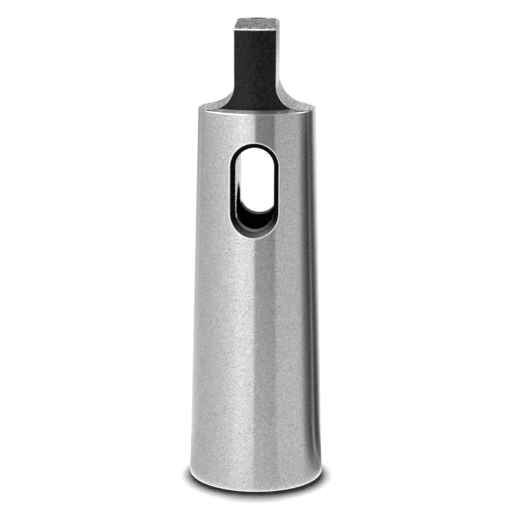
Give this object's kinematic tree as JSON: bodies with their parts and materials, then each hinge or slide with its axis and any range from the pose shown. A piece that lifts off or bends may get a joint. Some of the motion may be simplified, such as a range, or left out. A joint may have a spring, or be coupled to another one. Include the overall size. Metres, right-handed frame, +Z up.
{
  "type": "morse taper sleeve",
  "caption": "Tanged reducing sleeve that fits a Morse 5 taper shank into a Morse 6 taper spindle, with a through slot for a drift.",
  "frame": {"origin": "centre of the big end's face, which the sleeve stands on", "axes": "+Z up along the sleeve's axis, from the big end to the tang; Y runs through the drift slot; the tang's two flats face +X and -X"},
  "size_m": [0.0638, 0.0636, 0.218],
  "materials": {
    "ground_steel": "hardened tool steel, fine cylindrical grinding on the outer taper, plain milled grey on the tang's flats, black heat-treated skin in the slot and on the tang's rounded faces"
  },
  "bodies": {
    "root": {"sleeve": "ground_steel"}
  },
  "joints": []
}
